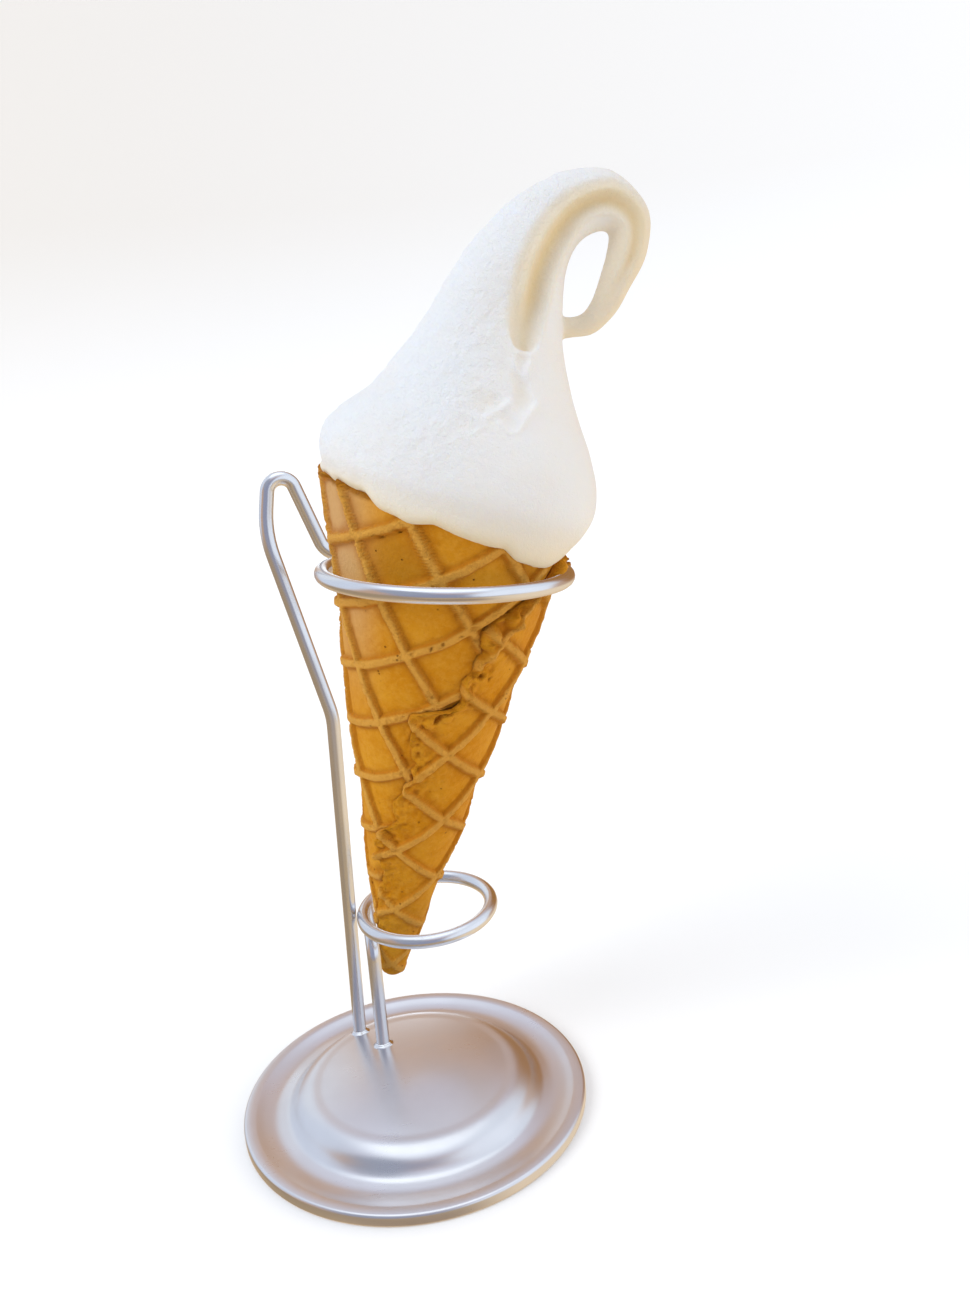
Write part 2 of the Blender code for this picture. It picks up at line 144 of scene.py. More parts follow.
# How far the ice cream's lip stands out from the wafer's skin: angle, length.
LIP_OUT = ((-180, 1.3), (-120, 1.0), (-90, 0.2), (-72, -0.7), (-46, -0.5), (-38, 0.3),
           (-26, 1.1), (0, 1.5), (40, 1.6), (60, 1.3), (95, 1.2), (120, 1.5), (180, 1.3))

# Ice cream: stations of its curved core, each (x, z, tilt in degrees, half width, half depth).
CREAM_Y = -5.0
CREAM = ((24.5, 166.3, 22.5, 32.0, 30.4), (26.2, 170.0, 20, 33.6, 32.0),
         (27.7, 176.4, 18, 33.3, 31.6), (29.4, 182.0, 17, 30.4, 29.6),
         (32.2, 188.8, 16, 25.0, 25.4), (34.8, 196.2, 16.5, 20.6, 21.2),
         (37.7, 203.9, 18, 16.8, 17.6), (41.4, 212.7, 23, 13.9, 14.7),
         (45.6, 220.6, 30, 11.2, 12.0), (51.4, 227.3, 46, 9.0, 9.6),
         (59.0, 231.2, 75, 7.5, 8.0), (66.6, 231.2, 107, 6.4, 6.8),
         (71.2, 226.6, 152, 5.2, 5.8), (70.6, 220.2, 182, 4.7, 5.2),
         (67.2, 213.2, 205, 3.7, 4.2), (63.6, 207.4, 220, 3.1, 3.4),
         (60.0, 204.6, 246, 2.7, 2.9), (56.2, 204.2, 266, 2.4, 2.6),
         (51.6, 204.6, 270, 3.0, 3.2))
# The curl's groove: station, angle of its two rims in degrees, depth.
GROOVE_END = 5.62
GROOVE = ((5.6, 8, 26, 2.2), (5.85, 6, 28, 2.4), (6.4, 2, 33, 3.0), (7.1, -1, 36, 3.1),
          (7.6, -3, 38, 3.0), (8.3, -5, 43, 2.8), (9.0, -8, 45, 2.4), (9.7, -14, 38, 2.1),
          (10.4, -21, 31, 1.9), (11.1, -32, 31, 1.7), (12.0, -44, 29, 1.5),
          (12.7, -45, 18, 1.3), (13.4, -39, 18, 1.0), (14.2, -42, 19, 0.7),
          (14.8, -36, 24, 0.5), (15.6, -20, 20, 0.0))
CREAM_VOXEL = 0.47


# ---------------------------------------------------------------- helpers

def rough(points, size, table=0):
    """Smooth noise from -1 to 1 at the points, with lumps of the given size."""
    place = np.asarray(points, float) / size + 100.37
    cell = np.floor(place).astype(int)
    part = place - cell
    part = part * part * (3 - 2 * part)
    total = 0.0
    for corner in itertools.product((0, 1), repeat=3):
        weight = np.prod(np.where(corner, part, 1 - part), axis=-1)
        i, j, k = np.moveaxis((cell + corner) % NOISE_CELLS, -1, 0)
        total = total + weight * NOISE_TABLES[table][i, j, k]
    return total


def fade(value, start, end):
    """Smooth step from 0 at start to 1 at end."""
    t = np.clip((value - start) / (end - start), 0.0, 1.0)
    return t * t * (3 - 2 * t)


def table(value, stops):
    """Linear reading of a small table of (value, result) stops."""
    xs, ys = zip(*stops)
    return np.interp(value, xs, ys)


def smooth_curve(keys, count):
    """Points evenly along smooth curves through key points; keys is (keys, columns, 3)."""
    keys = np.asarray(keys, float)
    gaps = np.linalg.norm(np.diff(keys, axis=0), axis=2).mean(axis=1)
    place = np.concatenate(([0.0], np.cumsum(gaps)))
    slopes = np.diff(keys, axis=0) / gaps[:, None, None]
    inner = (slopes[:-1] * gaps[1:, None, None] + slopes[1:] * gaps[:-1, None, None])
    inner /= (gaps[1:] + gaps[:-1])[:, None, None]
    tangents = np.concatenate((slopes[:1], inner, slopes[-1:]))
    at = np.linspace(0.0, place[-1], count)
    k = np.clip(np.searchsorted(place, at, side="right") - 1, 0, len(gaps) - 1)
    h = gaps[k]
    t = ((at - place[k]) / h)[:, None, None]
    h = h[:, None, None]
    points = ((2 * t ** 3 - 3 * t ** 2 + 1) * keys[k] + (t ** 3 - 2 * t ** 2 + t) * h * tangents[k]
              + (3 * t ** 2 - 2 * t ** 3) * keys[k + 1] + (t ** 3 - t ** 2) * h * tangents[k + 1])
    return points, k + t[:, 0, 0]


def grid_normals(points):
    """Outward normals of a grid of rings that close on themselves."""
    along = np.gradient(points, axis=0)
    around = np.roll(points, -1, axis=1) - np.roll(points, 1, axis=1)
    normals = np.cross(around, along)
    return normals / np.maximum(np.linalg.norm(normals, axis=2, keepdims=True), 1e-9)


def ring_mesh(name, rings, values=None):
    """A closed mesh skinned over rings of points, its two ends drawn to their middles."""
    rows, cols = rings.shape[:2]
    index = np.arange(rows * cols).reshape(rows, cols)
    right = np.roll(index, -1, axis=1)
    quads = np.stack((index[:-1], right[:-1], right[1:], index[1:]), axis=-1).reshape(-1, 4)
    low, high = rows * cols, rows * cols + 1
    caps = [(low, int(b), int(a)) for a, b in zip(index[0], right[0])]
    caps += [(high, int(a), int(b)) for a, b in zip(index[-1], right[-1])]
    points = np.concatenate((rings.reshape(-1, 3), [rings[0].mean(axis=0), rings[-1].mean(axis=0)]))
    mesh = bpy.data.meshes.new(name)
    mesh.from_pydata((points * MM).tolist(), [], quads.tolist() + caps)
    for key, grid in (values or {}).items():
        flat = np.concatenate((grid.ravel(), [grid[0].mean(), grid[-1].mean()]))
        store(mesh, key, flat)
    mesh.shade_smooth()
    return mesh


def store(mesh, key, values):
    attribute = mesh.attributes.new(key, "FLOAT", "POINT")
    attribute.data.foreach_set("value", np.asarray(values, np.float32))


def add_piece(name, data, material, slot, *nodes):
    """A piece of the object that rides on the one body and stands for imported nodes."""
    piece = bpy.data.objects.new(name, data)
    bpy.context.scene.collection.objects.link(piece)
    data.materials.append(material)
    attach(piece, "root")
    if nodes:
        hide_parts(*nodes)
    return piece


def read_points(mesh):
    flat = np.zeros(len(mesh.vertices) * 3)
    mesh.vertices.foreach_get("co", flat)
    return flat.reshape(-1, 3) / MM


def read_normals(mesh):
    flat = np.zeros(len(mesh.vertices) * 3)
    mesh.vertices.foreach_get("normal", flat)
    return flat.reshape(-1, 3)


def write_points(mesh, points):
    mesh.vertices.foreach_set("co", (points * MM).ravel())
    mesh.update()


def relaxed(mesh, values, passes):
    """Values on a mesh's points, evened out along its edges."""
    edges = np.zeros(len(mesh.edges) * 2, int)
    mesh.edges.foreach_get("vertices", edges)
    a, b = edges.reshape(-1, 2).T
    count = len(mesh.vertices)
    degree = np.bincount(a, minlength=count) + np.bincount(b, minlength=count)
    flat = values.reshape(count, -1).copy()
    for _ in range(passes):
        for axis in range(flat.shape[1]):
            column = flat[:, axis]
            total = np.bincount(a, column[b], count) + np.bincount(b, column[a], count)
            flat[:, axis] = 0.5 * column + 0.5 * total / np.maximum(degree, 1)
    return flat.reshape(values.shape)


# ---------------------------------------------------------------- materials

class Nodes:
    """A short way to write a material's nodes."""

    def __init__(self, name, base, roughness, **inputs):
        self.material = bpy.data.materials.new(name)
        self.material.use_nodes = True
        self.tree = self.material.node_tree
        self.shader = self.tree.nodes["Principled BSDF"]
        self.shader.inputs["Base Color"].default_value = (*base, 1.0)
        self.shader.inputs["Roughness"].default_value = roughness
        for key, value in inputs.items():
            self.shader.inputs[key.replace("_", " ")].default_value = value
        self.place = self.add("ShaderNodeTexCoord").outputs["Object"]

    def add(self, kind, **inputs):
        node = self.tree.nodes.new(kind)
        for key, value in inputs.items():
            self.put(node, key.replace("_", " "), value)
        return node

    def put(self, node, key, value):
        if isinstance(value, bpy.types.NodeSocket):
            self.tree.links.new(value, node.inputs[key])
        else:
            node.inputs[key].default_value = value

    def noise(self, size, detail=2.0, roughness=0.5, stretch=None):
        """Noise from 0 to 1 with lumps of the given size in millimetres."""
        where = self.place
        if stretch:
            where = self.add("ShaderNodeMapping", Vector=where, Scale=stretch).outputs[0]
        node = self.add("ShaderNodeTexNoise", Vector=where, Scale=1.0 / (size * MM),
                        Detail=detail, Roughness=roughness)
        return node.outputs["Fac"]

    def spots(self, size, randomness=1.0):
        node = self.add("ShaderNodeTexVoronoi", Vector=self.place, Scale=1.0 / (size * MM),
                        Randomness=randomness)
        return node.outputs["Distance"]

    def read(self, key):
        node = self.tree.nodes.new("ShaderNodeAttribute")
        node.attribute_name = key
        return node.outputs["Fac"]

    def step(self, value, low, high, to_low=0.0, to_high=1.0):
        node = self.add("ShaderNodeMapRange", Value=value)
        node.interpolation_type = "SMOOTHSTEP"
        for key, number in (("From Min", low), ("From Max", high), ("To Min", to_low),
                            ("To Max", to_high)):
            self.put(node, key, number)
        return node.outputs["Result"]

    def sum(self, a, b, operation="ADD"):
        node = self.tree.nodes.new("ShaderNodeMath")
        node.operation = operation
        self.put(node, 0, a)
        self.put(node, 1, b)
        return node.outputs[0]

    def mix(self, share, a, b, blend="MIX"):
        node = self.tree.nodes.new("ShaderNodeMix")
        node.data_type = "RGBA"
        node.blend_type = blend
        self.put(node, 0, share)
        for slot, value in ((6, a), (7, b)):
            if not isinstance(value, bpy.types.NodeSocket):
                value = (*value, 1.0)
            self.put(node, slot, value)
        return node.outputs[2]

    def bump(self, height, depth, below=None):
        node = self.add("ShaderNodeBump", Height=height, Strength=1.0, Distance=depth * MM)
        if below:
            self.put(node, "Normal", below)
        return node.outputs[0]

    def set(self, key, value):
        self.put(self.shader, key, value)


def steel_material(name, colour, roughness, grain_stretch):
    m = Nodes(name, colour, roughness, Metallic=1.0)
    grain = m.noise(0.4, 2.0, 0.6, grain_stretch)
    smear = m.noise(14.0, 2.0)
    m.set("Base Color", m.mix(m.step(smear, 0.3, 0.7), colour, [c * 0.95 for c in colour]))
    worn = m.sum(m.sum(grain, 0.4, "MULTIPLY"), m.sum(smear, 0.6, "MULTIPLY"))
    m.set("Roughness", m.step(worn, 0.3, 0.7, roughness - 0.03, roughness + 0.04))
    nicks = m.step(m.noise(0.8, 1.0), 0.78, 0.86)
    m.set("Normal", m.bump(nicks, 0.015, m.bump(grain, 0.0015)))
    return m.material


def wafer_material():
    panel = (0.70, 0.29, 0.014)
    m = Nodes("baked_wafer", panel, 0.62, Specular_IOR_Level=0.07)
    patch = m.noise(12.0, 3.0, 0.6)
    colour = m.mix(m.step(patch, 0.3, 0.7), (0.655, 0.25, 0.006), (0.74, 0.33, 0.020))
    mottle = m.step(m.noise(1.6, 4.0, 0.75), 0.40, 0.66)
    colour = m.mix(m.sum(mottle, 0.40, "MULTIPLY"), colour, (0.79, 0.385, 0.050))
    # Painted light: the left side's panels turn paler and greyer, as if lit by cool light from the left.
    colour = m.mix(m.sum(m.read("pale"), 0.75, "MULTIPLY"), colour, (0.66, 0.41, 0.195))
    # Darker patches, the one under the ice cream's lip painted shadow, and a browner broken rim.
    colour = m.mix(m.sum(m.read("brown_and_shade"), 0.55, "MULTIPLY"), colour, (0.40, 0.145, 0.006))
    # Painted highlight: the ridge tops are lighter, standing in for the light they catch.
    colour = m.mix(m.sum(m.read("ridge"), 0.85, "MULTIPLY"), colour, (0.95, 0.475, 0.085))
    # Painted shade: the ridges' flanks turn a darker orange.
    colour = m.mix(m.sum(m.read("flank"), 0.75, "MULTIPLY"), colour, (0.62, 0.205, 0.004))
    # Toasted near the flap's edge and at the broken rim; where it darkens hollows it is painted shade.
    colour = m.mix(m.sum(m.read("toast_and_shade"), 0.55, "MULTIPLY"), colour, (0.64, 0.245, 0.006))
    # Painted shade in creases, at the ridges' feet and along the flap's seam; at the broken rim, dark
    # crumbs.
    colour = m.mix(m.sum(m.read("crease_shade_and_crumbs"), 0.65, "MULTIPLY"), colour, (0.43, 0.135, 0.005))
    specks = m.step(m.noise(0.9, 2.0, 0.7), 0.60, 0.70)
    colour = m.mix(m.sum(specks, 0.25, "MULTIPLY"), colour, (0.47, 0.165, 0.008))
    # Pits: dented by the bump below, and coloured dark as painted shade.
    pits = m.step(m.spots(2.1), 0.16, 0.08)
    gate = m.step(m.noise(5.0, 1.0), 0.58, 0.64)
    pits = m.sum(pits, gate, "MULTIPLY")
    colour = m.mix(m.sum(pits, 0.7, "MULTIPLY"), colour, (0.28, 0.08, 0.005))
    # Painted shade: the layer under the flap's edge, seen in the gap, turns near-black.
    colour = m.mix(m.sum(m.read("dark"), 0.9, "MULTIPLY"), colour, (0.22, 0.06, 0.004))
    m.set("Base Color", colour)
    rougher = m.sum(m.sum(m.sum(m.read("ridge"), m.read("toast_and_shade"), "MAXIMUM"), 0.95, "MULTIPLY"), 0.40)
    crumb = m.sum(m.noise(0.9, 4.0, 0.72), rougher, "MULTIPLY")
    height = m.sum(crumb, m.sum(pits, 0.5, "MULTIPLY"), "SUBTRACT")
    m.set("Normal", m.bump(height, 0.9))
    return m.material


def milk_material():
    cool, cream = (0.90, 0.908, 0.925), (0.84, 0.68, 0.40)
    m = Nodes("milk_ice", cool, 0.42, Specular_IOR_Level=0.35, Subsurface_Weight=0.3,
              Subsurface_Scale=0.003, Subsurface_Radius=(1.0, 0.8, 0.55))
    patch = m.noise(14.0, 2.0)
    colour = m.mix(m.step(patch, 0.35, 0.65), cool, (0.91, 0.90, 0.89))
    # The warm tint read from the mesh is painted shade and bounce light.
    m.set("Base Color", m.mix(m.read("cream"), colour, cream))
    ice = m.noise(0.8, 3.0, 0.7)
    fine = m.noise(0.35, 2.0, 0.6)
    height = m.sum(m.sum(ice, m.read("grain"), "MULTIPLY"), m.sum(fine, 0.2, "MULTIPLY"))
    m.set("Normal", m.bump(height, 0.65))
    m.set("Roughness", m.step(ice, 0.4, 0.7, 0.5, 0.34))
    return m.material


# ---------------------------------------------------------------- base and wires

def arc(centre, radius, start, end, steps):
    angles = np.radians(np.linspace(start, end, steps + 1))
    return [(centre[0] + radius * math.cos(a), centre[1] + radius * math.sin(a)) for a in angles]


def crown_height(r):
    return CROWN_Z - (CROWN_Z - KNEE_Z) * (r / KNEE_R) ** 1.8


def base_profile():
    """Half section from the crown's centre, over the outside, to the underside's centre."""
    keys = [(r, crown_height(r)) for r in np.linspace(0.0, KNEE_R, 8)]
    keys += [WALL_HIGH, WALL_LOW, DOME_FOOT, COVE_IN, COVE_OUT, FLANGE_IN,
             (BASE_R - 3.0, HEM_H)]
    keys = np.array([(r, 0.0, z) for r, z in keys])[:, None, :]
    top = [(p[0], p[2]) for p in smooth_curve(keys, 90)[0][:, 0]]
    hem = arc((BASE_R - HEM_R, HEM_H - HEM_R), HEM_R, 90, 0, 6)
    hem += arc((BASE_R - HEM_R, HEM_R), HEM_R, 0, -90, 6)
    seam = [(SEAM_IN_R + SEAM_W, 0.0), (SEAM_IN_R + SEAM_W / 2, SEAM_D), (SEAM_IN_R, 0.0)]
    return top + hem + seam + [(0.0, 0.0)]


def turned_mesh(name, profile, steps):
    """A mesh turned round +Z from a profile that starts and ends on the axis."""
    angles = np.linspace(0, 2 * math.pi, steps, endpoint=False)
    rings = [[(r * math.cos(a), r * math.sin(a), z) for a in angles] for r, z in profile[1:-1]]
    rings = np.array(rings)[::-1]
    mesh = ring_mesh(name, rings)
    mesh.set_sharp_from_angle(angle=math.radians(50))
    return mesh


def fillet_path(corners, radii, step=4.0):
    """A path through the corners, each inner one rounded to its radius."""
    points = [Vector(corners[0])]
    for k, radius in enumerate(radii):
        before, here, after = (Vector(c) for c in corners[k:k + 3])
        into, out = (here - before).normalized(), (after - here).normalized()
        turn = into.angle(out)
        normal = into.cross(out).normalized()
        start = here - into * radius * math.tan(turn / 2)
        centre = start + normal.cross(into) * radius
        count = max(2, round(math.degrees(turn) / step))
        points += [centre + Matrix.Rotation(turn * i / count, 3, normal) @ (start - centre)
                   for i in range(count + 1)]
    points.append(Vector(corners[-1]))
    return points


def ring_point(centre, radius, tilt, angle):
    normal = Vector((tilt[0], tilt[1], 1.0)).normalized()
    along = Vector((1.0, 0.0, -normal.x / normal.z)).normalized()
    across = normal.cross(along)
    a = math.radians(angle)
    return Vector(centre) + radius * (math.cos(a) * along + math.sin(a) * across)


def wire(name, points, material, *nodes, closed=False):
    """A round wire along the points, as a bevelled curve with closed ends."""
    curve = bpy.data.curves.new(name, "CURVE")
    curve.dimensions = "3D"
    curve.bevel_depth = WIRE_R * MM
    curve.bevel_resolution = 6
    curve.use_fill_caps = not closed
    line = curve.splines.new("POLY")
    line.points.add(len(points) - 1)
    line.use_cyclic_u = closed
    for slot, point in zip(line.points, points):
        slot.co = (*(Vector(point) * MM), 1.0)
    return add_piece(name, curve, material, "steel", *nodes)


def leg_foot(foot):
    return (foot[0], foot[1], crown_height(math.hypot(*foot)) + 0.1)


def make_wires(material):
    level_z = UPPER_C[2] + UPPER_TILT[0] * (UPPER_C[0] - HOOK_IN_X)
    back = ring_point(UPPER_C, UPPER_R, UPPER_TILT, 90)
    corners = [leg_foot(LEG_A), LEG_A_BEND, HOOK_OUT, HOOK_TOP, (HOOK_IN_X, back.y, level_z), back]
    path = fillet_path(corners, TALL_BENDS)
    path += [ring_point(UPPER_C, UPPER_R, UPPER_TILT, a)
             for a in np.linspace(90, UPPER_END - 360, 160)[1:]]
    wire("tall_wire_bent", path, material, "tall_wire")
    ring = [ring_point(LOWER_C, LOWER_R, LOWER_TILT, a) for a in np.linspace(0, 360, 128, False)]
    wire("lower_ring", ring, material, "short_wire", closed=True)
    end = ring_point(LOWER_C, LOWER_R, LOWER_TILT, LEG_B_END)
    leg = fillet_path([leg_foot(LEG_B), LEG_B_BEND, tuple(end)], (SHORT_BEND,))
    wire("short_leg", leg, material, "short_wire")


def weld_bead(name, node, foot, material):
    """A low lumpy bead that fills the corner between a leg and the dome."""
    radius = math.hypot(*foot)
    slope = (crown_height(radius + 1) - crown_height(radius - 1)) / 2
    normal = Vector((-slope * foot[0] / radius, -slope * foot[1] / radius, 1.0)).normalized()
    turn = normal.to_track_quat("Z", "Y").to_matrix()
    centre = Vector((foot[0], foot[1], crown_height(radius)))
    heights = ((WIRE_R - 0.3, 0.75), (WIRE_R + 0.1, 0.7), (WIRE_R + 0.35, 0.4),
               (BEAD_R - 0.85, 0.2), (BEAD_R - 0.4, 0.0), (BEAD_R - 0.35, -0.3),
               (WIRE_R - 0.3, -0.3))
    rings = []
    for r, z in heights[::-1]:
        ring = []
        for a in np.linspace(0, 2 * math.pi, 40, endpoint=False):
            grow = 1.0 + 0.04 * math.sin(3 * a + 1.0) + 0.015 * math.sin(7 * a)
            ring.append(centre + turn @ Vector((r * grow * math.cos(a), r * grow * math.sin(a), z)))
        rings.append(ring)
    add_piece(name, ring_mesh(name, np.array(rings)), material, "steel", node)


# ---------------------------------------------------------------- wafer cone

def on_cone(s, radius, angle):
    """Points at distance s up the axis; angle in degrees."""
    a = np.radians(angle)[..., None]
    out = np.sin(a) * SIDE + np.cos(a) * FRONT
    return APEX + np.asarray(s)[..., None] * AXIS + np.asarray(radius)[..., None] * out


def skin(s):
    return s * TAPER - SKIN_IN


def wrapped(angle):
    return (angle + 180.0) % 360.0 - 180.0


def lip_s(angle):
    """Lower edge of the ice cream on the wafer, with small scallops."""
    a = wrapped(angle)
    r = np.radians(a)
    return table(a, LIP_EDGE) + 0.25 * np.sin(11 * r + 0.5) + 0.15 * np.sin(23 * r)


def rim_s(angle):
    """The wafer's broken rim."""
    around = np.stack((np.sin(np.radians(angle)), np.cos(np.radians(angle)), angle * 0), -1) * 28.0
    chips = 0.55 * rough(around, 4.0, 1) + 0.65 * rough(around, 1.5, 2)
    return lip_s(angle) + table(wrapped(angle), RIM_OVER) + chips


def sheet_place(s, angle, turn):
    """Place on the flat sheet, along the two sets of ridges."""
    stops, flats = zip(*SHEET_TURN)
    flat = np.radians(np.interp(angle, stops, flats))
    rho = s * math.hypot(1.0, TAPER)
    x, y = rho * np.sin(flat), rho * np.cos(flat)
    c, t = math.cos(math.radians(GRID_TURN)), math.sin(math.radians(GRID_TURN))
    first, second = c * x + t * y, c * y - t * x
    on_flap = 1 - fade(turn, 0.3, 0.6)
    return first, second + on_flap * (0.0285 * second + 1.9)


def ridge_share(s, angle, turn):
    """0 on the panels, 1 on top of the pressed ridges."""
    places = sheet_place(s, angle, turn)
    flat = np.stack((*places, places[0] * 0), -1)
    share = 0.0
    for k, value in enumerate(places):
        value = value + 0.40 * rough(flat, 7.0, k) + 0.20 * rough(flat, 2.2, k + 1)
        pitch = GRID_PITCH[k]
        off = np.abs((value - GRID_START[k] + pitch / 2) % pitch - pitch / 2)
        foot = RIDGE_FOOT + 0.25 * rough(flat, 9.0, k + 3)
        flank = np.clip((foot - off) / (foot - RIDGE_TOP), 0, 1)
        share = np.maximum(share, 0.35 * flank + 0.65 * fade(flank, 0, 1))
    return share


def edge_angle(s):
    """Angle of the flap's ragged edge."""
    line = np.stack((s, s * 0, s * 0), -1)
    ragged = 0.30 * rough(line, 2.6, 3) + 0.28 * rough(line, 1.2, 5)
    return table(s, ROLL_EDGE) + np.degrees(ragged / np.maximum(skin(s), 3.0))


def spot(s, angle, centre, half, lean):
    """Distance from a spot's centre on the skin, 1 at the edge of its oval."""
    turn = math.radians(lean)
    up, over = s - centre[0], np.radians(angle - centre[1]) * skin(s)
    along = up * math.cos(turn) + over * math.sin(turn)
    across = over * math.cos(turn) - up * math.sin(turn)
    return np.hypot(along / half[0], across / half[1])


def crumbs(s, angle, place):
    """Loose lumps and burst bubbles, as heights."""
    total = 0.0
    wavy = 0.25 * rough(place, 1.8, 1)
    for s0, a0, long, wide, lean, height in LUMPS:
        d = spot(s, angle, (s0, a0), (long, wide), lean) + wavy
        total = np.maximum(total, height * np.clip(1 - d ** 2, 0, 1) ** 0.4)
    for s0, a0, long, wide, lean, depth in PITS:
        d = spot(s, angle, (s0, a0), (long, wide), lean)
        total = total - depth * (1 - fade(d, 0.55, 1.1))
    return total


def evened(grid, passes):
    """A grid of values spread over its neighbours; columns run round and close."""
    for _ in range(passes):
        grid = (2 * grid + np.roll(grid, 1, axis=1) + np.roll(grid, -1, axis=1)) / 4
        padded = np.concatenate((grid[:1], grid, grid[-1:]))
        grid = (2 * grid + padded[:-2] + padded[2:]) / 4
    return grid


def row_levels(rows):
    """Levels up the cone, closer together where the relief is full."""
    at = np.linspace(0.0, 1.0, 400)
    dense = np.where(at < 0.3, 0.62, 1.0)
    total = np.concatenate(([0.0], np.cumsum((dense[1:] + dense[:-1]) / 2)))
    return np.interp(np.linspace(0, total[-1], rows), total, at)[:, None]


def column_offsets(columns, start, radius, under):
    """Angles past the flap's edge: closest at the edge, then on the front."""
    first = np.array((0.0, 0.1, 0.25, 0.45, 0.7, 1.0, 1.35))
    close = np.degrees(first[None, :] / radius)
    rest = columns - len(first)
    at = np.linspace(0.0, 1.0, 400)
    dense = 1.0 + 0.45 * np.cos(2 * np.pi * at)
    total = np.concatenate(([0.0], np.cumsum((dense[1:] + dense[:-1]) / 2)))
    share = np.interp(np.linspace(0, total[-1], rest + 1), total, at)[1:]
    return np.concatenate((close, close[:, -1:] + share * (360 + under - close[:, -1:])), axis=1)


def row_s(base_s, angle):
    """A row's distance up the axis: level low down, following the broken rim near the top."""
    return base_s + fade(base_s, MEAN_RIM_S - 18.0, MEAN_RIM_S) * (rim_s(angle) - MEAN_RIM_S)


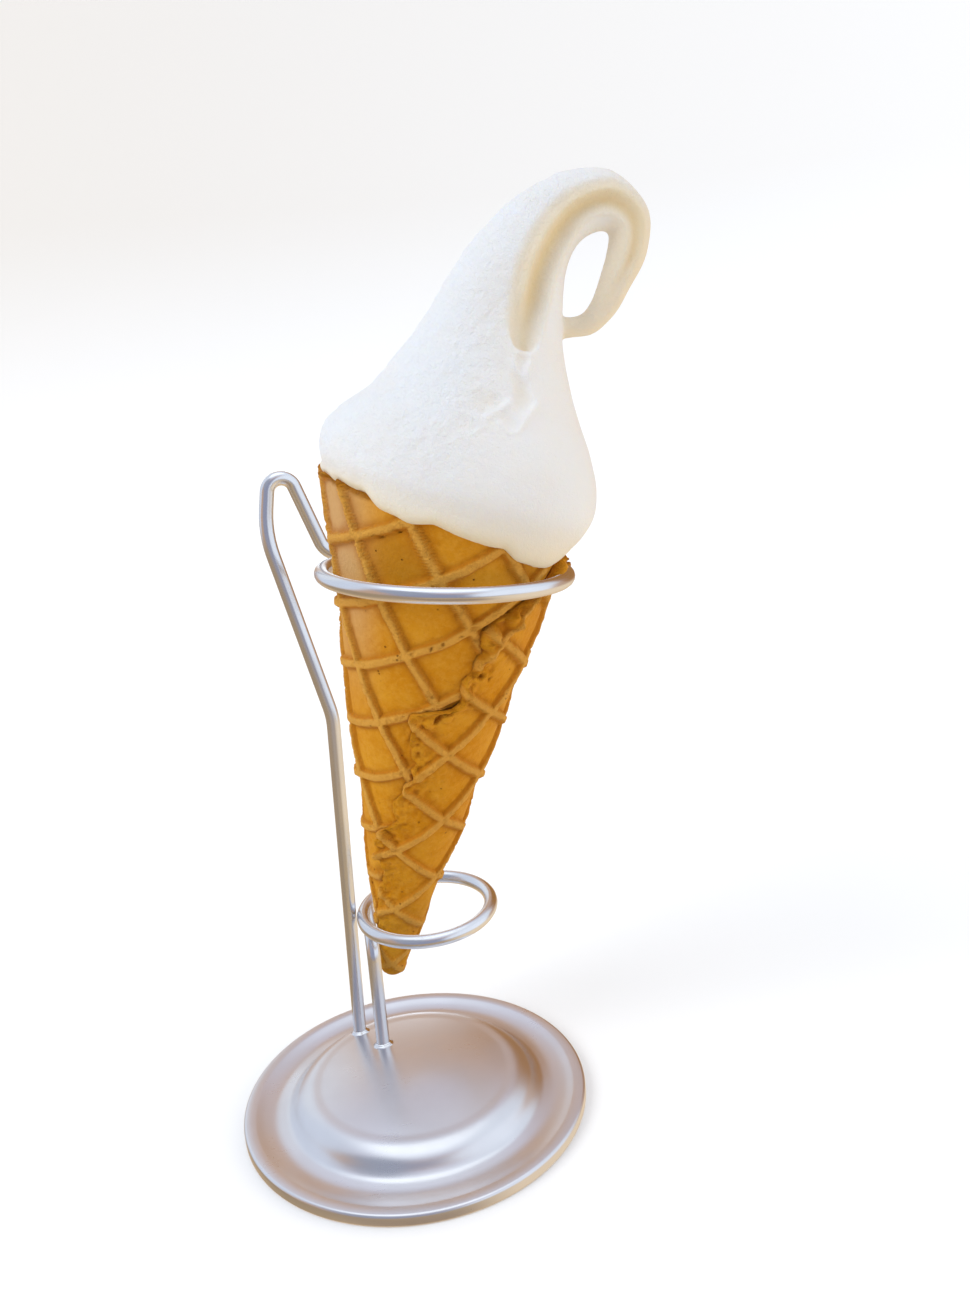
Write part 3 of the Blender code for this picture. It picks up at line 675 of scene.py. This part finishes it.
def wafer_rings(rows=284, columns=332, under_columns=8):
    level = row_levels(rows)
    base_s = TIP_S + level * (MEAN_RIM_S - TIP_S)
    start = edge_angle(base_s)
    mean_r = np.maximum(skin(base_s), 3.0)
    under = np.degrees(UNDER_MM / np.maximum(mean_r, 6.0))
    offset = column_offsets(columns, start, mean_r, under)
    from_edge = np.radians(np.minimum(offset, 360.0 + under - offset)) * mean_r
    drift = table(base_s, SEAM_DRIFT)
    angle = drift + offset + (start - drift) * np.exp(-np.maximum(from_edge, 0) / SEAM_REACH)
    offset = angle - start
    s = row_s(base_s, angle)
    radius = np.maximum(skin(s), 0.5)
    turn = offset / 360.0
    run = np.radians(offset) * radius            # millimetres from the flap's edge
    relief = np.minimum(1.0, s / RELIEF_FULL_S)
    place = on_cone(s, radius, angle)

    near = np.exp(-run / 4.0)
    lift = table(s, EDGE_LIFT) * near
    bulge = np.exp(-((wrapped(angle) - 86) / 20) ** 2 - ((s - 146) / 3.4) ** 2)
    lift = lift + FLARE * bulge
    width = 1.2 + 1.0 * fade(s, 139, 147)
    round_end = np.sqrt(1 - (1 - np.clip(run / width, 0, 1)) ** 2)
    crumbly = 0.5 * rough(place, 2.8, 1) + 0.9 * rough(place, 1.5, 3) + 0.7 * rough(place, 0.95, 2)
    lumpy = np.exp(-run / 5.0) * crumbly
    thick = SHEET_STEP * np.clip(1 - turn, 0, 1) + table(s, EDGE_FAT) * np.exp(-run / 2.2) + lumpy
    past = run - 2 * math.pi * radius            # positive under the flap
    ridge = ridge_share(s, angle, turn) * (1 - fade(past, 0.0, 1.2))
    pitted = fade(rough(place, 1.5, 3) + 0.5 * rough(place, 0.8, 4), 0.35, 0.75) * fade(ridge, 0.5, 1)
    debris = 0.45 * np.exp(-np.abs(past) / 1.8) * rough(place, 1.3, 4)
    worn = (0.07 + 0.16 * ridge) * rough(place, 1.6, 5) + 0.22 * rough(place, 9.0, 0) + debris
    broken = 1 - fade(rim_s(angle) - s, 0.5, 1.9)
    worn = worn + broken * (0.8 * rough(place, 1.1, 2) - 0.2)
    height = RIDGE_H * ridge - 0.35 * pitted + crumbs(s, angle, place) + worn
    tip = np.sqrt(np.clip(0.25 + (s - TIP_S) / 2.4, 0, 1))
    outer = (radius + relief * (lift + (thick + height) * round_end)) * tip

    back = np.linspace(1.0, 0.0, under_columns + 1)[None, 1:]
    back_angle = start + back * under
    s_back = row_s(base_s, back_angle)
    r_back = np.maximum(skin(s_back), 0.5)
    back_run = np.radians(back * under) * r_back
    below = table(s_back, EDGE_LIFT) * np.exp(-back_run / 4.0) + 0.02
    inner = (r_back + relief[:, :1] * below) * tip[:, :1]

    points = np.concatenate((on_cone(s, outer, angle), on_cone(s_back, inner, back_angle)), axis=1)
    # Ridge flanks, darkened in the material as painted shade.
    flank = np.clip(4 * ridge * (1 - ridge), 0, 1)
    shape = (thick + height) * round_end
    # Painted shade in hollows of the surface and along the seam under the flap's edge; dark crumbs at
    # the broken rim.
    crease_shade_and_crumbs = np.clip((evened(shape, 9) - shape - 0.03) / 0.42, 0, 1) * relief
    crease_shade_and_crumbs = np.maximum(crease_shade_and_crumbs, np.exp(-np.abs(past) / 0.55))
    toast_and_shade = np.clip(0.8 * np.exp(-run / 1.2) + 0.6 * near * (rough(place, 1.8, 2) > 0.15), 0, 1)
    # Hollows darkened too: painted shade.
    toast_and_shade = np.maximum(toast_and_shade, 0.7 * fade(-height, 0.25, 0.8))
    toast_and_shade = np.maximum(toast_and_shade, broken)
    crease_shade_and_crumbs = np.maximum(crease_shade_and_crumbs, broken * (rough(place, 1.0, 4) > -0.1))
    # Painted shade: the layer under the flap's edge is darkened.
    gap_shade = fade(past, 0.0, 0.8)
    # Painted light: panels on the left paler and greyer, as if lit from there.
    pale = fade(-wrapped(angle), 30, 60) * fade(s, 100, 150) * (1 - 0.7 * ridge)
    # Darker panels, the one under the ice cream's lip painted shadow, and a browner rim.
    brown_and_shade = 0.0
    for s0, a0, long, wide in DARKENED_PANELS:
        brown_and_shade = np.maximum(brown_and_shade, 1 - fade(spot(s, wrapped(angle), (s0, a0), (long, wide), 0), 0.3, 1.1))
    brown_and_shade = np.maximum(brown_and_shade, 0.5 * broken)
    values = {"ridge": (ridge, 0.0), "flank": (flank, 0.0), "toast_and_shade": (toast_and_shade, 1.0),
              "crease_shade_and_crumbs": (crease_shade_and_crumbs, 1.0), "dark": (gap_shade, 1.0), "pale": (pale, 0.0),
              "brown_and_shade": (brown_and_shade, 0.0)}
    # On the sheet that runs under the flap's edge, the darkening shares are full: painted shade.
    values = {key: np.concatenate((grid, inner * 0 + fill), axis=1)
              for key, (grid, fill) in values.items()}
    return points, values


def make_wafer(material):
    outer, values = wafer_rings()
    top = outer[-1]
    around = np.degrees(np.arctan2((top - APEX) @ SIDE, (top - APEX) @ FRONT))
    s_top = (top - APEX) @ AXIS
    inner = []
    chips = 0.35 * rough(top, 1.3, 2)
    for drop, wall in ((-0.1, 0.5), (0.3, 1.4), (0.9, 3.5), (1.6, 9.0)):
        s = s_top - drop + chips
        inner.append(on_cone(s, skin(s) - wall, around))
    rings = np.concatenate((outer, np.array(inner)))
    # The rim's inner wall under the ice cream is darkened: painted shade.
    for key, grid in values.items():
        fill = {"toast_and_shade": 1.0, "crease_shade_and_crumbs": 0.7}.get(key, 0.0)
        values[key] = np.concatenate((grid, np.full((len(inner), grid.shape[1]), fill)))
    piece = add_piece("wafer_cone", ring_mesh("wafer_cone", rings, values), material, "wafer",
                      "cone")
    return piece


# ---------------------------------------------------------------- ice cream

def cream_keys(turns):
    """Key rings of the ice cream: its lip on the wafer, then the stations of its core."""
    angle = np.degrees(turns)
    edge = lip_s(angle)
    out = table(wrapped(angle), LIP_OUT)
    keys = []
    for up, proud in ((1.6, out - 4.5), (0.9, out - 1.6), (0.05, out), (1.4, out + 1.3)):
        s = edge + up
        keys.append(on_cone(s, skin(s) + proud, angle))
    for x, z, tilt, wide, deep in CREAM:
        lean = math.radians(tilt)
        across = np.array((math.cos(lean), 0.0, -math.sin(lean)))
        ring = (np.array((x, CREAM_Y, z)) + wide * np.sin(turns)[:, None] * across
                + deep * np.cos(turns)[:, None] * np.array((0.0, -1.0, 0.0)))
        keys.append(ring)
    return np.array(keys)


def groove_cut(station, turns):
    """How deep the curl's folds are, and how much painted warm shade lies in them, at each station and
    angle.
    """
    stops = np.array(GROOVE)
    low, high, depth = (np.interp(station, stops[:, 0], stops[:, k])[:, None] for k in (1, 2, 3))
    w = (wrapped(np.degrees(turns))[None, :] - low) / (high - low)
    from_end = station[:, None] - GROOVE_END - 0.20 * np.clip(np.abs(w - 0.5) * 2, 0, 1.2) ** 4
    main = np.clip(1 - ((w - 0.62) / 0.37) ** 2, 0, 1)
    valley = np.clip(1 - ((w - 0.03) / 0.17) ** 2, 0, 1)
    pocket = np.clip(1 - ((w - 0.5) / 0.52) ** 2, 0, 1) ** 0.75
    open_up = fade(station, 6.1, 7.2)[:, None]
    fold = (pocket + open_up * (main + 0.2 * valley - pocket)) * fade(from_end, 0.0, 0.16)
    on = fade(depth, 0.2, 1.2) * fade(from_end, 0.0, 0.16)
    ridge = on * np.exp(-((w - 1.03) / 0.075) ** 2)
    lip = np.exp(-((from_end + 0.03) / 0.055) ** 2) * (np.abs(w - 0.5) < 0.62) * (station < 7)[:, None]
    # Painted shade: a warm tint in and beside the groove.
    broad = np.clip(1 - ((w - 0.47) / 0.68) ** 2, 0, 1) ** 0.7
    strength = (0.74 + 0.26 * fade(station, 6.2, 7.2))[:, None]
    warm_shade = on * strength * np.maximum(np.clip(main, 0, 1), 0.75 * broad)
    return depth * fold - 0.26 * ridge - 0.32 * lip, warm_shade


def dents(points, normals):
    """Soft hollows below the curl: (x, z, half width, half height, lean, depth)."""
    total = 0.0
    facing = fade(-normals[:, 1], 0.2, 0.5)
    warp_x = 1.2 * rough(points, 4.5, 1) + 0.25 * rough(points, 1.8, 3)
    warp_z = 1.2 * rough(points, 4.5, 2) + 0.25 * rough(points, 1.8, 4)
    for x, z, wide, high, lean, depth in (
            (41.8, 197.6, 1.7, 3.6, -4, 0.60), (39.6, 190.6, 3.0, 5.0, -10, 0.85),
            (32.0, 189.8, 3.6, 2.8, 10, 0.55), (36.2, 185.6, 2.8, 2.0, -8, 0.45),
            (27.8, 186.6, 3.8, 2.4, 30, 0.30)):
        a = math.radians(lean)
        dx, dz = points[:, 0] - x + warp_x, points[:, 2] - z + warp_z
        u, v = dx * math.cos(a) + dz * math.sin(a), dz * math.cos(a) - dx * math.sin(a)
        d = np.hypot(u / wide, v / high)
        low_side = fade(-v / high, -0.1, 0.6)
        fold = low_side * np.exp(-((d - 1.15) / 0.24) ** 2)
        total = total + 0.8 * facing * depth * (np.clip(1 - d ** 2, 0, 1) - 0.6 * fold)
    return total


def make_cream(material):
    turns = np.linspace(0, 2 * math.pi, 300, endpoint=False)
    keys = cream_keys(turns)
    lip_rings = len(keys) - len(CREAM)
    rings, place = smooth_curve(keys, 300)
    station = place - lip_rings
    cut, groove = groove_cut(station, turns)
    rings = rings - grid_normals(rings) * cut[..., None]
    mesh = ring_mesh("ice_cream_body", rings)
    # Painted light: warm shade in the groove, warmer along the curl's end, and warm bounce light on the
    # lip at the bottom.
    warm_shade = groove.copy()
    warm_shade = np.maximum(warm_shade, (fade(station, 10.5, 12.5) * 0.55)[:, None])
    low = (1 - fade(station, -2.0, 1.2))[:, None] * np.ones_like(warm_shade)
    warm_shade = np.maximum(warm_shade, 0.85 * low)
    tree = kdtree.KDTree(rings.shape[0] * rings.shape[1])
    for i, point in enumerate(rings.reshape(-1, 3)):
        tree.insert(point, i)
    tree.balance()

    piece = add_piece("ice_cream_body", mesh, material, "milk_ice", "ice_cream")
    remesh = piece.modifiers.new("one_skin", "REMESH")
    remesh.mode = "VOXEL"
    remesh.voxel_size = CREAM_VOXEL * MM
    remesh.use_smooth_shade = True
    graph = bpy.context.evaluated_depsgraph_get()
    fused = bpy.data.meshes.new_from_object(piece.evaluated_get(graph))
    piece.modifiers.clear()
    piece.data = fused
    fused.name = "ice_cream_body"
    write_points(fused, relaxed(fused, read_points(fused), 4))
    points, normals = read_points(fused), read_normals(fused)
    flat_warm_shade = warm_shade.ravel()
    cream = np.array([flat_warm_shade[tree.find(p)[1]] for p in points])
    cream = relaxed(fused, cream, 6)
    icy = 1 - fade(points[:, 0] - 0.42 * (points[:, 2] - 165), 14, 34)
    icy *= 0.3 + 0.7 * fade(points[:, 2], 170, 190)
    icy = np.maximum(icy, fade(points[:, 2], 226, 232)) * (1 - 0.8 * np.clip(cream, 0, 1))
    drop = dents(points, normals)
    lumps = (0.02 + 0.14 * icy) * rough(points, 1.5, 1) + (0.06 + 0.11 * icy) * rough(points, 3.2, 2)
    lumps += 0.30 * rough(points, 14.0, 3) + 0.12 * icy * rough(points, 0.95, 4)
    lumps *= 1 - 0.7 * fade(points[:, 0], 52, 60) * fade(points[:, 2], 198, 204)
    write_points(fused, points + normals * (lumps - drop)[:, None])
    # Painted shade: the dents take some of the warm tint.
    cream = np.clip(np.maximum(cream, 0.3 * np.clip(drop, 0, 1)), 0, 1)
    store(fused, "cream", cream)
    store(fused, "grain", 0.25 + 0.75 * icy)
    fused.shade_smooth()
    return piece


# ---------------------------------------------------------------- stage, lights, camera

CAMERA_AT = (0.0, -265.71, 197.44)
CAMERA_YAW, CAMERA_PITCH, CAMERA_ROLL = 0.1128, 0.2535, -0.085   # radians
CAMERA_FOCAL_PX, FRAME_HEIGHT_PX = 1084.47, 1293


def make_camera():
    data = bpy.data.cameras.new("camera")
    data.sensor_width = 36.0
    data.lens = CAMERA_FOCAL_PX / FRAME_HEIGHT_PX * data.sensor_width
    data.clip_start, data.clip_end = 0.01, 50.0
    ahead = Vector((math.sin(CAMERA_YAW) * math.cos(CAMERA_PITCH),
                    math.cos(CAMERA_YAW) * math.cos(CAMERA_PITCH), -math.sin(CAMERA_PITCH)))
    right = ahead.cross(Vector((0, 0, 1))).normalized()
    up = right.cross(ahead)
    c, s = math.cos(CAMERA_ROLL), math.sin(CAMERA_ROLL)
    turn = Matrix((c * right + s * up, c * up - s * right, -ahead)).transposed()
    camera = bpy.data.objects.new("camera", data)
    camera.matrix_world = Matrix.Translation(Vector(CAMERA_AT) * MM) @ turn.to_4x4()
    bpy.context.scene.collection.objects.link(camera)
    bpy.context.scene.camera = camera


def soft_sun(name, towards, strength, spread, colour):
    data = bpy.data.lights.new(name, "SUN")
    data.energy, data.angle, data.color = strength, math.radians(spread), colour
    light = bpy.data.objects.new(name, data)
    light.rotation_euler = Vector(towards).to_track_quat("-Z", "Y").to_euler()
    light.visible_glossy = False
    bpy.context.scene.collection.objects.link(light)


def make_lights():
    soft_sun("key", (0.72, 0.32, -0.62), 1.15, 35, (0.92, 0.97, 1.0))
    soft_sun("fill", (-0.85, 0.25, -0.25), 0.50, 50, (1.0, 0.93, 0.83))


class Sky:
    """Colours by direction, laid one over another."""

    def __init__(self, tree, below):
        self.tree = tree
        place = tree.nodes.new("ShaderNodeTexCoord").outputs["Generated"]
        self.place = place
        self.colour = below

    def share(self, direction, start, end):
        """0 to 1 as the view direction turns towards the given one."""
        dot = self.tree.nodes.new("ShaderNodeVectorMath")
        dot.operation = "DOT_PRODUCT"
        self.tree.links.new(self.place, dot.inputs[0])
        dot.inputs[1].default_value = Vector(direction).normalized()
        ramp = self.tree.nodes.new("ShaderNodeMapRange")
        ramp.interpolation_type = "SMOOTHSTEP"
        ramp.inputs["From Min"].default_value = start
        ramp.inputs["From Max"].default_value = end
        self.tree.links.new(dot.outputs["Value"], ramp.inputs["Value"])
        return ramp.outputs["Result"]

    def lay(self, colour, *shares):
        """Lay a colour where all the shares are 1."""
        total = self.share(*shares[0])
        for share in shares[1:]:
            times = self.tree.nodes.new("ShaderNodeMath")
            times.operation = "MULTIPLY"
            self.tree.links.new(total, times.inputs[0])
            self.tree.links.new(self.share(*share), times.inputs[1])
            total = times.outputs[0]
        mix = self.tree.nodes.new("ShaderNodeMix")
        mix.data_type = "RGBA"
        self.tree.links.new(total, mix.inputs[0])
        for slot, value in ((6, self.colour), (7, colour)):
            if isinstance(value, bpy.types.NodeSocket):
                self.tree.links.new(value, mix.inputs[slot])
            else:
                mix.inputs[slot].default_value = (*value, 1.0)
        self.colour = mix.outputs[2]

    def background(self):
        node = self.tree.nodes.new("ShaderNodeBackground")
        self.tree.links.new(self.colour, node.inputs["Color"])
        return node.outputs[0]


UP, DOWN, LEFT, RIGHT = (0, 0, 1), (0, 0, -1), (-1, 0, 0), (1, 0, 0)
BEHIND_CAMERA, FAR_SIDE = (0, -1, 0), (0, 1, 0)


def mirrored_room(tree):
    """What the steel mirrors: bright above and at the sides, warm wood low on the far side."""
    room = Sky(tree, (0.60, 0.41, 0.29))
    room.lay((0.60, 0.34, 0.16), ((-0.20, 0.90, 0.38), 0.96, 0.990))
    room.lay((0.63, 0.61, 0.72), (UP, 0.60, 0.70))
    room.lay((0.80, 0.86, 1.00), (UP, 0.74, 0.84))
    room.lay((0.73, 0.81, 0.95), ((-0.80, 0.45, 0.40), 0.74, 0.87))
    room.lay((0.84, 0.92, 1.04), ((0.75, 0.0, 0.65), 0.78, 0.90))
    room.lay((0.86, 0.92, 1.00), ((-0.42, 0.80, 0.42), 0.93, 0.975))
    room.lay((0.38, 0.17, 0.04), ((0.55, 0.82, 0.22), 0.87, 0.95))
    room.lay((1.40, 1.50, 1.60), ((0.0, 0.99, 0.08), 0.980, 0.993))
    room.lay((0.32, 0.35, 0.48), ((-0.2, -0.98, 0.05), 0.60, 0.88), (DOWN, -0.72, -0.45))
    room.lay((0.36, 0.40, 0.50), ((-0.55, -0.60, 0.58), 0.88, 0.95))
    room.lay((0.95, 1.03, 1.15), ((0.85, -0.5, 0.1), 0.66, 0.84))
    room.lay((0.78, 0.56, 0.33), (DOWN, 0.12, 0.48))
    room.lay((0.36, 0.33, 0.35), (BEHIND_CAMERA, 0.2, 0.7), (DOWN, 0.05, 0.2))
    room.lay((0.60, 0.44, 0.23), (BEHIND_CAMERA, 0.5, 0.8), (DOWN, 0.28, 0.36))
    room.lay((0.36, 0.26, 0.18), (BEHIND_CAMERA, 0.3, 0.6), (DOWN, 0.44, 0.58))
    room.lay((0.95, 0.78, 0.56), (DOWN, 0.12, 0.32), (RIGHT, 0.2, 0.75))
    room.lay((0.40, 0.30, 0.19), (DOWN, 0.05, 0.3), (LEFT, 0.3, 0.8))
    room.lay((1.30, 1.40, 1.50), (UP, 0.86, 0.94))
    return room.background()


def soft_studio(tree):
    """What lights the food: nearly even, cooler from above and the left, warmer from below."""
    studio = Sky(tree, (0.77, 0.77, 0.78))
    studio.lay((0.82, 0.85, 0.90), (UP, 0.0, 0.9))
    studio.lay((0.86, 0.91, 0.99), ((-0.9, 0.1, 0.3), 0.3, 0.95))
    studio.lay((0.98, 0.92, 0.83), ((0.95, 0.0, 0.0), 0.4, 0.95))
    studio.lay((0.53, 0.55, 0.61), ((-0.1, -0.98, 0.1), 0.40, 0.95))
    studio.lay((0.98, 0.85, 0.66), (DOWN, 0.2, 0.85))
    return studio.background()


def make_world():
    world = bpy.data.worlds.new("room")
    bpy.context.scene.world = world
    world.use_nodes = True
    tree = world.node_tree
    tree.nodes.clear()
    output = tree.nodes.new("ShaderNodeOutputWorld")
    light_path = tree.nodes.new("ShaderNodeLightPath")
    choose = tree.nodes.new("ShaderNodeMixShader")
    tree.links.new(light_path.outputs["Is Glossy Ray"], choose.inputs[0])
    tree.links.new(soft_studio(tree), choose.inputs[1])
    tree.links.new(mirrored_room(tree), choose.inputs[2])
    tree.links.new(choose.outputs[0], output.inputs["Surface"])


def make_floor():
    """A pale floor that curves up to a low wall far away, all the way round."""
    profile = [(0.0, 0.0), (300.0, 0.0), (900.0, 0.0)]
    profile += arc((1400.0, 500.0), 500.0, -90, 0, 16)
    profile += [(1900.0, 2600.0)]
    angles = np.linspace(0, 2 * math.pi, 96, endpoint=False)
    rings = [[(r * math.cos(a), r * math.sin(a), z) for a in angles] for r, z in profile[1:]]
    points = [(0.0, 0.0, 0.0)] + [tuple(c * MM for c in p) for ring in rings for p in ring]
    count = len(angles)
    faces = [(0, 1 + i, 1 + (i + 1) % count) for i in range(count)]
    for k in range(len(rings) - 1):
        for i in range(count):
            a, b = 1 + k * count + i, 1 + k * count + (i + 1) % count
            faces.append((a, a + count, b + count, b))
    mesh = bpy.data.meshes.new("floor")
    mesh.from_pydata(points, [], faces)
    mesh.shade_smooth()
    floor = bpy.data.objects.new("floor", mesh)
    bpy.context.scene.collection.objects.link(floor)
    pale = Nodes("pale_floor", (0.95, 0.95, 0.95), 0.9, Specular_IOR_Level=0.0)
    pale.set("Emission Color", (1.0, 1.0, 1.0, 1.0))
    pale.set("Emission Strength", 0.07)
    pale.set("Base Color", pale.mix(pale.noise(300.0), (0.955, 0.95, 0.945), (0.95, 0.95, 0.95)))
    mesh.materials.append(pale.material)
    floor.visible_glossy = False
    floor.visible_diffuse = False
    floor.visible_shadow = False


def main():
    satin = steel_material("satin_wire_steel", (0.80, 0.80, 0.82), 0.22, (1.0, 1.0, 0.12))
    brushed = steel_material("brushed_base_steel", (0.79, 0.78, 0.80), 0.30, (0.06, 1.0, 1.0))
    base = add_piece("pressed_base", turned_mesh("pressed_base", base_profile(), 256), brushed,
                     "steel", "base")
    base.data.set_sharp_from_angle(angle=math.radians(50))
    make_wires(satin)
    weld_bead("weld_collar_a", "weld_bead_a", LEG_A, satin)
    weld_bead("weld_collar_b", "weld_bead_b", LEG_B, satin)
    for food in (make_wafer(wafer_material()), make_cream(milk_material())):
        food.visible_glossy = False
    make_floor()
    make_world()
    make_lights()
    make_camera()
    bpy.context.scene.view_settings.view_transform = "Standard"


main()
